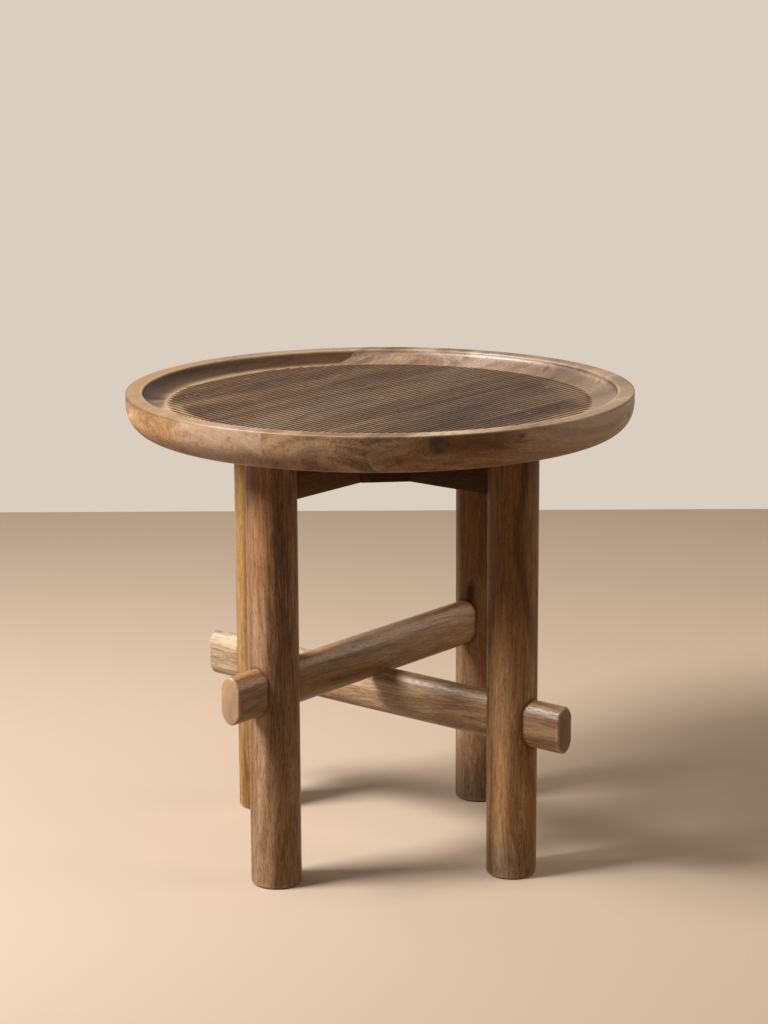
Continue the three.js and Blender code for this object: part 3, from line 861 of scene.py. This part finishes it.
steel = Surface("zinc_plated_steel")
cloud = steel.noise(steel.place, (900, 900, 900), 3.0, 3.0, 0.6)
grind = steel.noise(steel.place, (400, 400, 6000), 8.0, 2.0, 0.5)
tint = steel.ramp(cloud, [(0.3, shade(138, 136, 132)), (0.6, shade(186, 184, 178)),
                          (0.8, shade(206, 200, 184))])
skin = steel.add("BsdfPrincipled", {
    "Base Color": tint, "Metallic": 1.0,
    "Roughness": steel.math("MULTIPLY_ADD", cloud, 0.3, 0.2),
    "Normal": steel.add("Bump", {"Strength": 0.2, "Distance": 0.1 * mm,
                                 "Height": grind}).outputs[0]})
steel.tree.links.new(skin.outputs[0], steel.add("OutputMaterial").inputs[0])

for corner, (side_x, side_y) in {"front_left": (-1, -1), "front_right": (1, -1),
                                 "rear_left": (-1, 1), "rear_right": (1, 1)}.items():
    for row_name, reach in zip(("inner", "outer"), screw_places):
        screw = lathe([(0, -head_deep)]
                      + quarter(head_radius - head_round, head_round - head_deep,
                                head_round, head_round, -1, 0, 6)
                      + [(head_radius, 0), (core_radius, 0),
                         (core_radius, screw_long - point_long), (0, screw_long)], screw_sides)
        bmesh.ops.recalc_face_normals(screw, faces=screw.faces)
        cross = []
        for turn in (cross_turn, cross_turn + pi / 2):
            arm = slab(recess_long, recess_wide, 2 * recess_deep, 0)
            bmesh.ops.rotate(arm, verts=arm.verts, matrix=Matrix.Rotation(turn, 3, "Z"))
            bmesh.ops.translate(arm, verts=arm.verts, vec=(0, 0, -head_deep))
            cross.append(arm)
        screw = carve(screw, *cross)
        thread = bmesh.new()
        ridge = [thread.verts.new(p) for p in ((thread_root, 0, -thread_half),
                                               (shank_radius, 0, 0),
                                               (thread_root, 0, thread_half))]
        thread.faces.new(ridge)
        bmesh.ops.spin(thread, geom=thread.verts[:] + thread.edges[:] + thread.faces[:],
                       cent=(0, 0, 0), axis=(0, 0, 1), dvec=(0, 0, thread_pitch / thread_steps),
                       angle=thread_turns * 2 * pi, steps=thread_turns * thread_steps,
                       use_duplicate=False)
        bmesh.ops.translate(thread, verts=thread.verts, vec=(0, 0, thread_start))
        bmesh.ops.recalc_face_normals(thread, faces=thread.faces)
        coil = bpy.data.meshes.new("coil")
        thread.to_mesh(coil)
        thread.free()
        screw.from_mesh(coil)
        bpy.data.meshes.remove(coil)
        spot = reach / sqrt(2)
        bmesh.ops.translate(screw, verts=screw.verts,
                            vec=(side_x * spot, side_y * spot, head_seat))
        fit_piece(screw, f"wood_screw_{corner}_{row_name}", f"tray_screw_{corner}_{row_name}",
                  steel.material)


# Studio. A plain pale floor and a pale background, which show pale to the eye and in
# reflections and throw little light back, and one soft lamp high on the left with two weak
# ones beside it.
floor_half = 1530 * mm
table_turn = radians(5.877)
ground = bmesh.new()
bmesh.ops.create_grid(ground, x_segments=1, y_segments=1, size=floor_half)
bmesh.ops.rotate(ground, verts=ground.verts, matrix=Matrix.Rotation(-table_turn, 3, "Z"))
floor = loose(ground, "studio_floor")


def seen_or_mirrored(tree):
    """1 for what is looked at straight, in a reflection or through glass, and 0 for bounce."""
    rays = tree.nodes.new("ShaderNodeLightPath")
    answer = rays.outputs["Is Camera Ray"]
    for kind in ("Is Glossy Ray", "Is Transmission Ray"):
        either = tree.nodes.new("ShaderNodeMath")
        either.operation = "MAXIMUM"
        tree.links.new(answer, either.inputs[0])
        tree.links.new(rays.outputs[kind], either.inputs[1])
        answer = either.outputs[0]
    return answer


# The floor that is seen gets paler towards the back right, where the lamps leave it darker,
# and duller on both sides of what the camera sees, where they would bleach it. In metres.
pale_from, pale_to = -1.4, 1.6
view_edge, well_past_edge, view_widening = 0.72, 1.15, 0.27
paper = Surface("pale_floor")
outward, backward = paper.split(paper.place)[0:2]
fall = paper.add("MapRange", {"Value": paper.vector("DOT_PRODUCT", paper.place, (0.7, 0.7, 0)),
                              "From Min": pale_from, "From Max": pale_to}).outputs[0]
seen = paper.mix(fall, shade(167, 150, 135), shade(238, 212, 186))
beside = paper.math("MULTIPLY_ADD", backward, -view_widening, paper.math("ABSOLUTE", outward))
beside = paper.add("MapRange", {"Value": beside, "From Min": view_edge,
                                "From Max": well_past_edge}).outputs[0]
seen = paper.mix(beside, seen, shade(205, 205, 205), "MULTIPLY")
paper_colour = paper.mix(seen_or_mirrored(paper.tree), shade(156, 132, 106), seen)
matt = paper.add("BsdfPrincipled", {"Base Color": paper_colour, "Roughness": 0.7})
paper.tree.links.new(matt.outputs[0], paper.add("OutputMaterial").inputs[0])
floor.data.materials.append(paper.material)

world = bpy.data.worlds.new("room_light")
world.use_nodes = True
room = world.node_tree
room_light = room.nodes["Background"]
room_light.inputs["Color"].default_value = shade(240, 224, 204)
room_light.inputs["Strength"].default_value = 0.04
backdrop = room.nodes.new("ShaderNodeBackground")
backdrop.inputs["Color"].default_value = shade(218, 206, 193)
pick = room.nodes.new("ShaderNodeMixShader")
room.links.new(seen_or_mirrored(room), pick.inputs[0])
room.links.new(room_light.outputs[0], pick.inputs[1])
room.links.new(backdrop.outputs[0], pick.inputs[2])
room.links.new(pick.outputs[0], room.nodes["World Output"].inputs["Surface"])
bpy.context.scene.world = world


def soft_lamp(name, place, size, power, colour):
    """A square lamp turned towards the middle of the table."""
    aim = Vector((0, 0, 0.35))
    lamp = bpy.data.lights.new(name, "AREA")
    lamp.shape = "SQUARE"
    lamp.size = size
    lamp.energy = power
    lamp.color = colour
    holder = bpy.data.objects.new(name, lamp)
    bpy.context.scene.collection.objects.link(holder)
    holder.location = place
    holder.rotation_euler = (aim - Vector(place)).to_track_quat("-Z", "Y").to_euler()


soft_lamp("lamp_left", (-1.34, -0.31, 1.5), 0.6, 58, (1.0, 0.98, 0.95))
soft_lamp("lamp_left_rear", (-1.29, 0.68, 1.47), 1.0, 5, (1.0, 0.96, 0.9))
soft_lamp("lamp_right", (1.62, -0.31, 1.2), 1.2, 13, (1.0, 0.91, 0.78))


# Camera. It stands where the photograph was taken from, two and a half metres in front of
# the table and nearly a metre up, with a long lens, and looks slightly down. The table is
# turned a little against it, so the camera goes round the table by as much instead.
camera_pitch, camera_roll = radians(12.829), radians(-0.263)
camera_place = Vector((3.33, -2566.55, 930.55)) * mm
focal_pixels, frame_pixels, film_size = 2600.47, 1024, 36
camera = bpy.data.cameras.new("camera")
camera.sensor_width = film_size
camera.lens = focal_pixels * film_size / frame_pixels
camera.clip_end = 20
eye = bpy.data.objects.new("camera", camera)
bpy.context.scene.collection.objects.link(eye)
forward = Vector((0, cos(camera_pitch), -sin(camera_pitch)))
level, rise = Vector((1, 0, 0)), Vector((0, sin(camera_pitch), cos(camera_pitch)))
right = level * cos(camera_roll) + rise * sin(camera_roll)
upright = rise * cos(camera_roll) - level * sin(camera_roll)
stand = Matrix((right, upright, -forward)).transposed().to_4x4()
stand.translation = camera_place
eye.matrix_world = Matrix.Rotation(-table_turn, 4, "Z") @ stand
bpy.context.scene.camera = eye
bpy.context.scene.view_settings.view_transform = "Standard"
